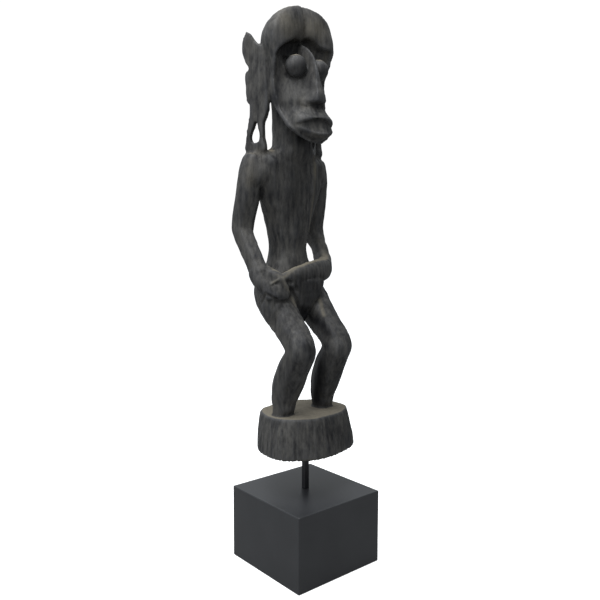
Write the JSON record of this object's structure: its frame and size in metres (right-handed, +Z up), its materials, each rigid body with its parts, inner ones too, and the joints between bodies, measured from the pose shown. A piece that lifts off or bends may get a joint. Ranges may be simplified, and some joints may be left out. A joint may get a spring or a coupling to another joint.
{
  "type": "dayak statue",
  "caption": "Tall dark carved wooden figure with a dished face, bent knees and hands on the belly, on an oval stub held over a black block by a square bar.",
  "frame": {"origin": "centre of the block's underside", "axes": "+Z up, the figure faces -Y and its right hand is towards -X"},
  "size_m": [0.1107, 0.1008, 0.5209],
  "materials": {
    "carved_wood": "blackened, worn, with pale dust in the hollows",
    "black_steel": "satin",
    "black_lacquer": "satin lacquer"
  },
  "bodies": {
    "root": {"figure": "carved_wood", "bar": "black_steel", "block": "black_lacquer"}
  },
  "joints": []
}
